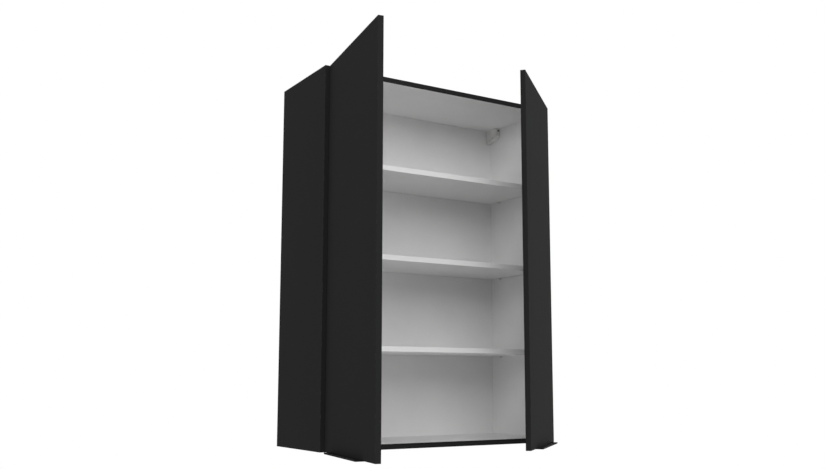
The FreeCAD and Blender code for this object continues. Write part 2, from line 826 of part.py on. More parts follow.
def hanger_hook():
    """The right hanger's steel hook: blade, arm, claw and the lug that its screw lifts."""
    left = hanger_middle - hook_half_thickness
    right = hanger_middle + hook_half_thickness
    blade = box(left, right, blade_front, carriage_rear, blade_top - hook_blade_height, blade_top)
    arm_top = blade_middle + hook_arm_height / 2
    arm = box(left, right, blade_front, hook_reach, arm_top - hook_arm_height, arm_top)
    claw = box(left, right, hook_reach - claw_thickness, hook_reach, arm_top - claw_drop, arm_top)
    lug = box(left, right + lug_width, lug_middle - lug_length / 2, lug_middle + lug_length / 2,
              blade_middle - lug_height / 2, blade_middle + lug_height / 2)
    hole = rod(Vec(height_screw_place, lug_middle, blade_middle - lug_height), Z_AXIS,
               height_screw_radius + hole_clearance, 2 * lug_height)
    return bored(merged([blade, arm, claw, lug]), [hole])


def depth_screw():
    """The screw that draws the right carriage forwards."""
    level = ceiling - depth_screw_drop
    head_start = Vec(hanger_middle, hanger_front - depth_screw_head_depth, level)
    along = Vec(0, 1, 0)
    shank_end = carriage_front + depth_screw_bite
    head = rod(head_start, along, depth_screw_head_radius, depth_screw_head_depth)
    recess = [box(hanger_middle - depth_screw_radius, hanger_middle + depth_screw_radius,
                  head_start.y - overrun, head_start.y + depth_screw_head_depth / 2,
                  level - cam_recess_width / 2, level + cam_recess_width / 2)]
    shank = rod(head_start, along, depth_screw_radius, shank_end - head_start.y)
    return bored(merged([head, shank]), recess)


def height_screw():
    """The screw that lifts the right hook in its carriage."""
    start = Vec(height_screw_place, lug_middle, carriage_floor - height_screw_head_depth)
    head = rod(start, Z_AXIS, height_screw_head_radius, height_screw_head_depth)
    shank = rod(start, Z_AXIS, height_screw_radius,
                blade_middle + lug_height / 2 + height_travel - height_screw_tip - start.z)
    return merged([head, shank])


def build():
    """Every node of the cabinet, by name."""
    nodes = {
        "right_side_panel": right_side_panel(),
        "left_side_panel": mirrored(right_side_panel()),
        "top_panel": top_panel(),
        "bottom_panel": flipped(top_panel()),
        "back_panel": back_panel(),
        "shelf_pins": both_sides(shelf_pins()),
        "cam_bolts": all_corners([cam_bolt(place) for place in cam_places]),
        "cam_locks": all_corners([cam_lock(place) for place in cam_places]),
        "wooden_dowels": all_corners([wooden_dowel(place) for place in dowel_places]),
        "back_panel_screws": Part.makeCompound([back_screw(point, 0) for point in back_screw_points()]),
        "hinge_plate_screws": both_sides([plate_screw(point) for point in plate_screw_points()]),
        "hanger_housing_screws": both_sides([housing_screw(point, 0) for point in housing_screw_points()]),
        "hinge_arm_screws": both_sides([on_right(lifted(arm_screw(0), level))
                                        for level in hinge_heights.values()]),
    }
    for name, underside in shelf_undersides.items():
        nodes[name + "_shelf"] = shelf(underside)
    hanger_pieces = {
        "hanger_housing": hanger_housing(),
        "hanger_carriage": hanger_carriage(),
        "hanger_hook": hanger_hook(),
        "hanger_depth_screw": depth_screw(),
        "hanger_height_screw": height_screw(),
    }
    for name, piece in hanger_pieces.items():
        nodes["right_" + name] = piece
        nodes["left_" + name] = mirrored(piece)
    for side, place, angle in (("left", on_left, left_door_angle), ("right", on_right, right_door_angle)):
        nodes[side + "_door"] = place(with_door(door_leaf(), angle))
        nodes[side + "_grip"] = place(with_door(grip(), angle))
        nodes[side + "_bumpers"] = Part.makeCompound([place(with_door(piece, angle)) for piece in bumpers()])
        screws = [door_screw(point, 0) for point in grip_screw_points()]
        plates = []
        for name, level in hinge_heights.items():
            hinge = side + "_" + name + "_hinge_"
            nodes[hinge + "arm"] = place(lifted(hinge_arm(), level))
            nodes[hinge + "cup"] = place(with_door(lifted(hinge_cup(), level), angle))
            nodes[hinge + "outer_link"] = place(with_outer_link(lifted(outer_link(), level), angle))
            nodes[hinge + "inner_link"] = place(with_inner_link(lifted(inner_link(), level), angle))
            plates.append(place(lifted(mounting_plate(), level)))
            screws += [lifted(door_screw(point, 0), level) for point in cup_screw_points()]
        nodes[side + "_hinge_plates"] = Part.makeCompound(plates)
        nodes[side + "_door_screws"] = Part.makeCompound([place(with_door(screw, angle)) for screw in screws])
    return nodes


def main():
    """Write one file for each node."""
    os.makedirs("parts", exist_ok=True)
    for name, shape in build().items():
        shape.exportStep(os.path.join("parts", name + ".step"))
        print(name, len(shape.Solids))


main()
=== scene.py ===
"""Looks of a tall wall cabinet with two slab doors on concealed cup hinges."""

import json
import logging
import math
from dataclasses import dataclass, field
from enum import Enum

import bmesh
import bpy
from bpy.types import ID, Material, Mesh, Node, NodeSocket as Socket, NodeTree, Object
from mathutils import Matrix, Vector

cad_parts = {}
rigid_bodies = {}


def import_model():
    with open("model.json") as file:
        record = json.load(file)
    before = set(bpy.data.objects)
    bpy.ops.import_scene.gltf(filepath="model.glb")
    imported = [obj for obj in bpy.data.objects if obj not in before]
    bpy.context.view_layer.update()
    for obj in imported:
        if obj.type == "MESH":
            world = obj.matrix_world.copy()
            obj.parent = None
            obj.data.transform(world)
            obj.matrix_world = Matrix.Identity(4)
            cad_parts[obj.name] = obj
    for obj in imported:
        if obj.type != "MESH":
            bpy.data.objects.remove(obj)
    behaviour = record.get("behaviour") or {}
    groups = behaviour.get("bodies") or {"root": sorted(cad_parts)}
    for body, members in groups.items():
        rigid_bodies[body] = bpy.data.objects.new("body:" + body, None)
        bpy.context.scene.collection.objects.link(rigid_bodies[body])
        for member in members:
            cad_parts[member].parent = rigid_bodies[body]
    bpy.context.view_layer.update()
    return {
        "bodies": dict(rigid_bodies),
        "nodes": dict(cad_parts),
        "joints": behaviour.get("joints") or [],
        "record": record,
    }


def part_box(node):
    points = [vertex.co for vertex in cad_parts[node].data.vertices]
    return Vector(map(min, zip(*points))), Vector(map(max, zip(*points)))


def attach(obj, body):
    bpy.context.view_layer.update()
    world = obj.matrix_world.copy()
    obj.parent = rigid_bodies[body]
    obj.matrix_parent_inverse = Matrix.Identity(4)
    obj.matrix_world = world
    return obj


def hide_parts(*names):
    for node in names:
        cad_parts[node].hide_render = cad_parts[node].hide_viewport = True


Colour = tuple[float, float, float]
Point = tuple[float, float, float]
Pair = tuple[float, float]
Value = Socket | float | int | Colour
Frame = dict[str, dict[str, object]]

LOG: logging.Logger = logging.getLogger("wall_cabinet")
MM: float = 0.001
WHITE: Colour = (1.0, 1.0, 1.0)
MIDDLE: Pair = (0.3, 0.7)  # the noise values that most of a surface has
BROAD: Pair = (0.2, 0.8)  # the noise values that nearly all of a surface has
SHARP_ANGLE: float = math.radians(35.0)
WELD_DISTANCE: float = 0.001 * MM
FACING: str = "facing"
SPIN_SEED: int = 7


class Side(Enum):
    """The two sides of the cabinet, seen from the front."""

    LEFT = "left"
    RIGHT = "right"

    @property
    def sign(self) -> float:
        """Direction of this side along X."""
        return 1.0 if self is Side.RIGHT else -1.0


class Face(Enum):
    """The six faces of a board: axis number and end."""

    LEFT = (0, -1)
    RIGHT = (0, 1)
    FRONT = (1, -1)
    REAR = (1, 1)
    UNDER = (2, -1)
    OVER = (2, 1)


class Tone(Enum):
    """Surface tones of the boards: colour, roughness and depth of the grain in metres."""

    DARK = ((0.0165, 0.0165, 0.0165), 0.6, 0.000022)
    # the doors use the dark board's tone painted a little lighter: painted light on the door
    # fronts
    DOOR = ((0.0182, 0.0182, 0.0182), 0.6, 0.000022)
    PALE = ((0.84, 0.836, 0.836), 0.5, 0.000016)
    CORE = ((0.36, 0.25, 0.15), 0.9, 0.00025)
    HARDBOARD = ((0.25, 0.16, 0.092), 0.74, 0.00005)

    @property
    def colour(self) -> Colour:
        """Linear base colour."""
        return self.value[0]

    @property
    def roughness(self) -> float:
        """Surface roughness."""
        return self.value[1]

    @property
    def grain(self) -> float:
        """Depth of the surface grain in metres."""
        return self.value[2]


class ScrewForm(Enum):
    """Head shapes of the screws."""

    PAN = "pan"
    SUNK = "sunk"


@dataclass(frozen=True)
class Noise:
    """A noise pattern: repeats for each metre, number of finer layers and their strength."""

    scale: float
    layers: float = 2.0
    strength: float = 0.5


class NodeGraph:
    """A node tree with short calls for the nodes that all kinds of tree share."""

    def __init__(self, tree: NodeTree) -> None:
        """Take the tree to add to."""
        self.tree = tree

    def node(
        self, kind: str, inputs: dict[str | int, object] | None = None, **settings: object
    ) -> Node:
        """Add a node with its inputs linked or set.

        Args:
            kind: Type name of the node.
            inputs: Values or sockets by input name or number.
            settings: Node properties to set.

        Returns:
            The new node.
        """
        made = self.tree.nodes.new(kind)
        for key, value in settings.items():
            setattr(made, key, value)
        for key, value in (inputs or {}).items():
            self.feed(made.inputs[key], value)
        return made

    def feed(self, socket: Socket, value: object) -> None:
        """Give a socket a link or a constant.

        Args:
            socket: Input to set.
            value: Output socket, number, colour or other constant.
        """
        if isinstance(value, Socket):
            self.tree.links.new(value, socket)
        elif isinstance(value, tuple):
            socket.default_value = (*value, 1.0) if len(socket.default_value) == 4 else value
        else:
            socket.default_value = value

    def math(self, operation: str, *values: Value) -> Socket:
        """Result of a math operation on the values."""
        return self.node("ShaderNodeMath", dict(enumerate(values)), operation=operation).outputs[0]

    def times(self, first: Value, second: Value) -> Socket:
        """Product of two values."""
        return self.math("MULTIPLY", first, second)

    def seen(self) -> Socket:
        """Find the rays that show the surroundings: direct, mirrored or through glass.

        Returns:
            One for these rays, zero for others.
        """
        rays = self.node("ShaderNodeLightPath").outputs
        mirrored = self.math("MAXIMUM", rays["Is Glossy Ray"], rays["Is Transmission Ray"])
        return self.math("MAXIMUM", rays["Is Camera Ray"], mirrored)


class ShaderGraph(NodeGraph):
    """A material's node tree with short calls for the nodes that the finishes share."""

    def __init__(self, name: str) -> None:
        """Start a material with one surface shader.

        Args:
            name: Name of the material.
        """
        self.material = bpy.data.materials.new(name)
        self.material.use_nodes = True
        super().__init__(self.material.node_tree)
        self.tree.nodes.clear()
        self.shader = self.node("ShaderNodeBsdfPrincipled")
        inputs = {"Surface": self.shader.outputs["BSDF"]}
        self.output = self.node("ShaderNodeOutputMaterial", inputs)

    def surface(self, **inputs: Value) -> None:
        """Set inputs of the surface shader, with underscores for spaces in their names."""
        for key, value in inputs.items():
            self.feed(self.shader.inputs[key.replace("_", " ")], value)

    def ease(self, value: Socket, source: Pair, target: Pair = (0.0, 1.0)) -> Socket:
        """Value mapped smoothly from the source range to the target range."""
        inputs = dict(enumerate((value, *source, *target)))
        return self.node("ShaderNodeMapRange", inputs, interpolation_type="SMOOTHSTEP").outputs[0]

    def mix(self, share: Value, first: Value, second: Value) -> Socket:
        """Mix of two colours, with the share of the second."""
        inputs = {0: share, 6: first, 7: second}  # 6 and 7 are the colour inputs
        return self.node("ShaderNodeMix", inputs, data_type="RGBA").outputs[2]

    def lerp(self, share: Value, first: Value, second: Value) -> Socket:
        """Mix of two numbers, with the share of the second."""
        inputs = {0: share, 2: first, 3: second}  # 2 and 3 are the number inputs
        return self.node("ShaderNodeMix", inputs, data_type="FLOAT").outputs[0]

    def place(
        self, location: Point = (0.0, 0.0, 0.0), turn: float = 0.0, scale: Point = (1.0, 1.0, 1.0)
    ) -> Socket:
        """Object coordinates, scaled, turned about the vertical and moved.

        Args:
            location: Shift after the turn.
            turn: Turn about the vertical in radians.
            scale: Scale along each axis.

        Returns:
            The coordinates.
        """
        source = self.node("ShaderNodeTexCoord").outputs["Object"]
        inputs = {
            "Vector": source, "Location": location, "Rotation": (0.0, 0.0, turn), "Scale": scale,
        }
        return self.node("ShaderNodeMapping", inputs, vector_type="POINT").outputs[0]

    def noise(self, spot: Socket, pattern: Noise) -> Socket:
        """Values of a noise pattern, between zero and one.

        Args:
            spot: Coordinates.
            pattern: Noise pattern.

        Returns:
            The values.
        """
        inputs = {
            "Vector": spot, "Scale": pattern.scale,
            "Detail": pattern.layers, "Roughness": pattern.strength,
        }
        return self.node("ShaderNodeTexNoise", inputs).outputs[0]

    def relief(self, height: Socket) -> None:
        """Bend the surface by a height in metres."""
        bump = self.node("ShaderNodeBump", {"Strength": 1.0, "Distance": 1.0, "Height": height})
        self.feed(self.shader.inputs["Normal"], bump.outputs[0])


@dataclass(frozen=True)
class DoorStance:
    """How a door stands open, in degrees, and the way back to the shut door's coordinates."""

    side: Side
    angle: float
    half_width: float = 0.4
    front: float = -0.288
    arm_pivot: Point = (0.03839, -0.01588, 0.0)
    cup_pivot: Point = (0.01045, 0.00662, 0.0)
    link_share: float = -0.2081

    def plan(self) -> Matrix:
        """From the shut door's plan to the right side of the cabinet, door open.

        Returns:
            The transform.
        """
        turn = Matrix.Rotation(math.radians(self.angle), 4, "Z")
        swing = Matrix.Rotation(math.radians(self.link_share * self.angle), 4, "Z")
        arm, cup = Vector(self.arm_pivot), Vector(self.cup_pivot)
        carried = arm + swing @ (cup - arm)
        opened = Matrix.Translation(carried) @ turn @ Matrix.Translation(-cup)
        corner = Matrix.Translation((self.half_width, self.front, 0.0))
        return corner @ Matrix.Rotation(math.pi, 4, "Z") @ opened

    def mirror(self) -> Point:
        """Scale that takes the right side's plan to this side."""
        return (self.side.sign, 1.0, 1.0)

    def matrix(self) -> Matrix:
        """From the shut door's plan to the cabinet's frame."""
        return Matrix.Diagonal((*self.mirror(), 1.0)) @ self.plan()

    def coordinates(self, graph: ShaderGraph) -> Socket:
        """The shut door's plan coordinates in a material."""
        back = self.plan().inverted()
        return graph.place(tuple(back.to_translation()), back.to_euler().z, self.mirror())


class BoardSpace:
    """Where a point of a board lies: its distances from the board's faces and edges."""

    def __init__(self, graph: ShaderGraph, spot: Socket, low: Vector, high: Vector) -> None:
        """Measure from the board's box.

        Args:
            graph: Material to add to.
            spot: The board's own coordinates.
            low: Lowest corner of the board.
            high: Highest corner of the board.
        """
        self.graph = graph
        self.spot = spot
        self.box = (low, high)
        self.axes = list(graph.node("ShaderNodeSeparateXYZ", {0: spot}).outputs)
        self.depths = []
        for axis, start, end in zip(self.axes, low, high):
            offset = graph.math("ABSOLUTE", graph.math("SUBTRACT", axis, (start + end) / 2))
            self.depths.append(graph.math("SUBTRACT", (end - start) / 2, offset))
        smaller = graph.math("MINIMUM", self.depths[0], self.depths[1])
        larger = graph.math("MAXIMUM", self.depths[0], self.depths[1])
        self.nearest_face = graph.math("MINIMUM", smaller, self.depths[2])
        self.edge = graph.math("MAXIMUM", smaller, graph.math("MINIMUM", larger, self.depths[2]))

    def away(self, face: Face) -> Socket:
        """Distance from the plane of a face.

        Args:
            face: Face of the board.

        Returns:
            The distance.
        """
        axis, end = face.value
        level = self.box[1 if end > 0 else 0][axis]
        return self.graph.math("ABSOLUTE", self.graph.math("SUBTRACT", self.axes[axis], level))

    def rim(self, face: Face) -> Socket:
        """Distance from the rim of a face."""
        across = [depth for index, depth in enumerate(self.depths) if index != face.value[0]]
        return self.graph.math("MINIMUM", *across)


@dataclass(frozen=True)
class BoardLook:
    """Colour, roughness and depth of the grain of a board, as numbers or sockets."""

    colour: Value
    roughness: Value
    grain: Value

    def covered(self, graph: ShaderGraph, share: Socket, tone: Tone) -> "BoardLook":
        """This look with a tone laid over a part of it.

        Args:
            graph: Material to add to.
            share: One where the tone shows, zero elsewhere.
            tone: Tone to lay over.

        Returns:
            The new look.
        """
        return BoardLook(
            graph.mix(share, self.colour, tone.colour),
            graph.lerp(share, self.roughness, tone.roughness),
            graph.lerp(share, self.grain, tone.grain),
        )


@dataclass(frozen=True)
class BoardFinish:
    """Coated chipboard with one tone for each face, soft arrises, a fine grain and worn edges.

    The skin is the depth that counts as a face, and the edge line the strip along a face's rim
    that keeps the board's own tone. A span is the range of a pattern that is used, and a shade
    the range of brightness that it gives.
    """

    name: str
    tone: Tone
    faces: tuple[tuple[Face, Tone], ...] = ()
    band: Face | None = None
    gloss: float = 0.012
    stance: DoorStance | None = None
    band_thickness: float = 1.0 * MM
    arris: float = 0.9 * MM
    skin: float = 0.4 * MM
    edge_line: float = 0.05 * MM
    cloud: Noise = Noise(7.0, 4.0, 0.6)
    cloud_shade: Pair = (0.985, 1.015)
    fleck: Noise = Noise(1400.0, 3.0, 0.65)
    fleck_span: Pair = (0.25, 0.75)
    fleck_shade: Pair = (0.95, 1.05)
    fleck_roughness: Pair = (-0.05, 0.06)
    raw_roughness: float = 0.75
    chip_scale: float = 420.0
    chip_span: Pair = (0.0, 0.9)
    chip_shade: Pair = (1.15, 0.7)
    rub: Noise = Noise(60.0, 5.0, 0.7)
    rub_span: Pair = (0.48, 0.7)
    rub_share: Pair = (0.0, 0.35)
    rub_width: float = 0.7 * MM
    rub_colour: Colour = (0.2, 0.2, 0.2)

    def material(self, low: Vector, high: Vector) -> Material:
        """Build the finish for one board.

        Args:
            low: Lowest corner of the board in its own coordinates.
            high: Highest corner of the board in its own coordinates.

        Returns:
            The material.
        """
        graph = ShaderGraph(self.name)
        spot = self.stance.coordinates(graph) if self.stance else graph.place()
        space = BoardSpace(graph, spot, low, high)
        inside = graph.math("GREATER_THAN", space.nearest_face, self.skin)
        look = BoardLook(self.tone.colour, self.tone.roughness, self.tone.grain)
        for face, tone in self.faces:
            look = look.covered(graph, self.share(space, face), tone)
        look = look.covered(graph, inside, Tone.CORE)
        fleck = graph.noise(spot, self.fleck)
        unevenness = graph.ease(fleck, BROAD, self.fleck_roughness)
        graph.surface(
            Base_Color=self.rubbed(space, self.shaded(space, look, fleck)),
            Roughness=graph.math("ADD", look.roughness, unevenness),
            Specular_IOR_Level=self.gloss,
        )
        texture = graph.times(graph.math("SUBTRACT", fleck, 0.5), look.grain)
        graph.relief(graph.math("ADD", self.rounding(space, inside), texture))
        return graph.material

    def share(self, space: BoardSpace, face: Face) -> Socket:
        """Find the points on a face, without its edge line and the edge band.

        Args:
            space: Distances in the board.
            face: Face of the board.

        Returns:
            One on the face, zero elsewhere.
        """
        graph = space.graph
        on_face = graph.math("LESS_THAN", space.away(face), self.skin)
        off_edge = graph.math("GREATER_THAN", space.rim(face), self.edge_line)
        share = graph.times(on_face, off_edge)
        if self.band is None or face is self.band:
            return share
        behind = graph.math("GREATER_THAN", space.away(self.band), self.band_thickness)
        return graph.times(share, behind)

    def shaded(self, space: BoardSpace, look: BoardLook, fleck: Socket) -> Socket:
        """Shade the colour with faint clouds and flecks, and raw faces with chips too.

        Args:
            space: Distances in the board.
            look: The board's look.
            fleck: Fine noise.

        Returns:
            The shaded colour.
        """
        graph = space.graph
        clouds = graph.ease(graph.noise(space.spot, self.cloud), MIDDLE, self.cloud_shade)
        flecks = graph.ease(fleck, self.fleck_span, self.fleck_shade)
        shade = graph.times(clouds, flecks)
        inputs = {"Vector": space.spot, "Scale": self.chip_scale}
        chip = graph.node("ShaderNodeTexVoronoi", inputs, feature="F1").outputs["Distance"]
        chips = graph.times(shade, graph.ease(chip, self.chip_span, self.chip_shade))
        raw = graph.math("GREATER_THAN", look.roughness, self.raw_roughness)
        inputs = {0: look.colour, "Scale": graph.lerp(raw, shade, chips)}
        return graph.node("ShaderNodeVectorMath", inputs, operation="SCALE").outputs[0]

    def rubbed(self, space: BoardSpace, colour: Socket) -> Socket:
        """Lighten a colour in patches along the edges.

        Args:
            space: Distances in the board.
            colour: Colour away from the edges.

        Returns:
            The colour with rubbed edges.
        """
        graph = space.graph
        near_edge = graph.ease(space.edge, (0.0, self.rub_width), (1.0, 0.0))
        patches = graph.ease(graph.noise(space.spot, self.rub), self.rub_span, self.rub_share)
        return graph.mix(graph.times(near_edge, patches), colour, self.rub_colour)

    def rounding(self, space: BoardSpace, inside: Socket) -> Socket:
        """Find the height that rounds the arrises: a parabola that drops by half their width.

        Args:
            space: Distances in the board.
            inside: One in bores and cuts, zero on the outer faces.

        Returns:
            The height in metres.
        """
        graph = space.graph
        shortfall = graph.math("MAXIMUM", graph.math("SUBTRACT", self.arris, space.edge), 0.0)
        square = graph.times(shortfall, shortfall)
        drop = graph.times(square, -0.5 / self.arris)
        return graph.times(drop, graph.math("SUBTRACT", 1.0, inside))


def around(middle: float, change: Pair) -> Pair:
    """Range about a middle value, from its change down and its change up."""
    return (middle + change[0], middle + change[1])


def scaled(colour: Colour, share: float) -> Colour:
    """Colour times a number, no part above one."""
    return tuple(min(1.0, share * part) for part in colour)


@dataclass(frozen=True)
class PlatedSteel:
    """Pressed and plated steel with faint drawing lines and small cloudy changes in gloss."""

    name: str
    colour: Colour
    roughness: float
    roughness_change: Pair = (-0.07, 0.1)
    roughness_span: Pair = (0.4, 1.1)
    shading: float = 0.72
    shading_span: Pair = (0.6, 1.3)
    cloud: Noise = Noise(90.0, 3.0)
    lines: Noise = Noise(1.0, 3.0, 0.6)
    line_stretch: Point = (90.0, 900.0, 900.0)
    line_depth: float = 0.012 * MM
    line_dulling: float = 0.5

    def material(self) -> Material:
        """Build the finish.

        Returns:
            The material.
        """
        graph = ShaderGraph(self.name)
        cloud = graph.noise(graph.place(), self.cloud)
        drawn = graph.noise(graph.place(scale=self.line_stretch), self.lines)
        lit = graph.ease(graph.math("ADD", cloud, drawn), self.shading_span)
        dull = graph.math("ADD", graph.times(drawn, self.line_dulling), cloud)
        roughness = around(self.roughness, self.roughness_change)
        graph.surface(
            Base_Color=graph.mix(lit, scaled(self.colour, self.shading), self.colour),
            Metallic=1.0,
            Roughness=graph.ease(dull, self.roughness_span, roughness),
        )
        graph.relief(graph.times(drawn, self.line_depth))
        return graph.material


@dataclass(frozen=True)
class MouldedPlastic:
    """Moulded plastic with a fine spark-eroded grain."""

    name: str
    colour: Colour
    roughness: float = 0.42
    roughness_change: Pair = (-0.06, 0.1)
    gloss: float = 0.4
    shading: float = 0.9
    cloud: Noise = Noise(40.0, 3.0)
    pits: Noise = Noise(1800.0)
    pit_depth: float = 0.02 * MM

    def material(self) -> Material:
        """Build the finish.

        Returns:
            The material.
        """
        graph = ShaderGraph(self.name)
        spot = graph.place()
        pits = graph.noise(spot, self.pits)
        lit = graph.ease(graph.noise(spot, self.cloud), MIDDLE)
        graph.surface(
            Base_Color=graph.mix(lit, scaled(self.colour, self.shading), self.colour),
            Roughness=graph.ease(pits, BROAD, around(self.roughness, self.roughness_change)),
            Specular_IOR_Level=self.gloss,
        )
        graph.relief(graph.times(pits, self.pit_depth))
        return graph.material


@dataclass(frozen=True)
class CoatedMetal:
    """Folded metal with a matt coat, fine specks and lighter worn spots."""

    name: str
    colour: Colour
    worn_colour: Colour
    roughness: float = 0.62
    roughness_change: Pair = (-0.08, 0.12)
    gloss: float = 0.03
    wear: Noise = Noise(35.0, 6.0, 0.72)
    wear_span: Pair = (0.62, 0.82)
    wear_share: Pair = (0.0, 0.5)
    specks: Noise = Noise(1500.0, 2.0, 0.6)
    speck_depth: float = 0.02 * MM

    def material(self) -> Material:
        """Build the finish.

        Returns:
            The material.
        """
        graph = ShaderGraph(self.name)
        spot = graph.place()
        specks = graph.noise(spot, self.specks)
        worn = graph.ease(graph.noise(spot, self.wear), self.wear_span, self.wear_share)
        graph.surface(
            Base_Color=graph.mix(worn, self.colour, self.worn_colour),
            Roughness=graph.ease(specks, BROAD, around(self.roughness, self.roughness_change)),
            Specular_IOR_Level=self.gloss,
        )
        graph.relief(graph.times(specks, self.speck_depth))
        return graph.material


@dataclass(frozen=True)
class SoftRubber:
    """Clear soft rubber, a little cloudy."""

    name: str
    colour: Colour
    milkiness: float = 1.25
    haze: Noise = Noise(260.0, 3.0)
    roughness: Pair = (0.28, 0.42)
    scatter_share: float = 0.25
    scatter_length: float = 2.0 * MM

    def material(self) -> Material:
        """Build the finish.

        Returns:
            The material.
        """
        graph = ShaderGraph(self.name)
        haze = graph.noise(graph.place(), self.haze)
        milky = scaled(self.colour, self.milkiness)
        graph.surface(
            Base_Color=graph.mix(graph.ease(haze, MIDDLE), self.colour, milky),
            Roughness=graph.ease(haze, BROAD, self.roughness),
            Subsurface_Weight=self.scatter_share,
            Subsurface_Scale=self.scatter_length,
        )
        return graph.material


@dataclass(frozen=True)
class TurnedWood:
    """Turned hardwood with grain along X."""

    name: str
    light: Colour
    dark: Colour
    roughness: Pair = (0.55, 0.75)
    grain: Noise = Noise(1.0, 4.0, 0.6)
    grain_stretch: Point = (30.0, 600.0, 600.0)
    grain_depth: float = 0.08 * MM

    def material(self) -> Material:
        """Build the finish.

        Returns:
            The material.
        """
        graph = ShaderGraph(self.name)
        grain = graph.noise(graph.place(scale=self.grain_stretch), self.grain)
        graph.surface(
            Base_Color=graph.mix(graph.ease(grain, MIDDLE), self.dark, self.light),
            Roughness=graph.ease(grain, BROAD, self.roughness),
        )
        graph.relief(graph.times(grain, self.grain_depth))
        return graph.material


def add_object(name: str, data: ID) -> Object:
    """Add an object to the scene.

    Args:
        name: Name of the object.
        data: Its mesh, lamp or camera.

    Returns:
        The object.
    """
    made = bpy.data.objects.new(name, data)
    bpy.context.scene.collection.objects.link(made)
    return made


def smooth(mesh: Mesh) -> None:
    """Shade a mesh smooth between its sharp bends."""
    mesh.shade_smooth()
    mesh.set_sharp_from_angle(angle=SHARP_ANGLE)


class GeometryGraph(NodeGraph):
    """A geometry node tree with named size inputs."""

    def __init__(self, name: str) -> None:
        """Start a tree that takes and gives one geometry.

        Args:
            name: Name of the tree.
        """
        super().__init__(bpy.data.node_groups.new(name, "GeometryNodeTree"))
        for flow in ("INPUT", "OUTPUT"):
            self.tree.interface.new_socket(
                "Geometry", in_out=flow, socket_type="NodeSocketGeometry")
        self.entry = self.node("NodeGroupInput")
        self.exit = self.node("NodeGroupOutput")

    def size(self, name: str, kind: str = "NodeSocketFloat") -> Socket:
        """Named input of the tree, newly added."""
        self.tree.interface.new_socket(name, in_out="INPUT", socket_type=kind)
        return self.entry.outputs[name]

    def vector(self, x: Value = 0.0, y: Value = 0.0, z: Value = 0.0) -> Socket:
        """Vector of three numbers."""
        return self.node("ShaderNodeCombineXYZ", {"X": x, "Y": y, "Z": z}).outputs[0]

    def raised(self, geometry: Socket, height: Value) -> Socket:
        """Geometry moved up by a height."""
        inputs = {"Geometry": geometry, "Translation": self.vector(z=height)}
        return self.node("GeometryNodeTransform", inputs).outputs[0]

    def merge(self, node: Node, key: str, *parts: Socket) -> Socket:
        """Link several geometries to one input of a node.

        Args:
            node: Node that takes them.
            key: Name of the input.
            parts: The geometries.

        Returns:
            The node's result.
        """
        for part in parts:
            self.tree.links.new(part, node.inputs[key])
        return node.outputs[0]

    def set_on_points(self, shape: Socket, spin: Socket, material: Socket) -> None:
        """End the tree: the shape on every point, facing its stored direction.

        Args:
            shape: Geometry of one item, with its outer side along Z.
            spin: Largest random spin about its own axis.
            material: Material of the items.
        """
        facing = self.node(
            "GeometryNodeInputNamedAttribute", {"Name": FACING}, data_type="FLOAT_VECTOR")
        inputs = {"Vector": facing.outputs["Attribute"]}
        aligned = self.node("FunctionNodeAlignRotationToVector", inputs, axis="Z")
        placed = self.node("GeometryNodeInstanceOnPoints", {
            "Points": self.entry.outputs["Geometry"], "Instance": shape,
            "Rotation": aligned.outputs[0]})
        inputs = {"Max": spin, "Seed": SPIN_SEED}
        chance = self.node("FunctionNodeRandomValue", inputs, data_type="FLOAT")
        spun = self.node("GeometryNodeRotateInstances", {
            "Instances": placed.outputs[0], "Rotation": self.vector(z=chance.outputs[1]),
            "Local Space": True})
        real = self.node("GeometryNodeRealizeInstances", {"Geometry": spun.outputs[0]})
        dressed = self.node("GeometryNodeSetMaterial", {
            "Geometry": real.outputs[0], "Material": material})
        self.feed(self.exit.inputs["Geometry"], dressed.outputs[0])

    def run(
        self, name: str, points: list[Vector], facings: list[Vector], values: dict[str, object]
    ) -> Object:
        """Run the tree on a set of points and keep the result as a plain mesh.

        Args:
            name: Name of the object.
            points: Base points.
            facings: Outward direction at each point.
            values: Input values by name.

        Returns:
            The finished object.
        """
        mesh = bpy.data.meshes.new(name)
        mesh.from_pydata([tuple(point) for point in points], [], [])
        stored = mesh.attributes.new(FACING, "FLOAT_VECTOR", "POINT")
        stored.data.foreach_set("vector", [part for facing in facings for part in facing])
        made = add_object(name, mesh)
        modifier = made.modifiers.new(name, "NODES")
        modifier.node_group = self.tree
        for item in self.tree.interface.items_tree:
            if item.in_out == "INPUT" and item.name in values:
                modifier[item.identifier] = values[item.name]
        evaluated = made.evaluated_get(bpy.context.evaluated_depsgraph_get())
        plain = bpy.data.meshes.new_from_object(evaluated)
        made.modifiers.clear()
        made.data = plain
        plain.name = name
        smooth(plain)
        return made


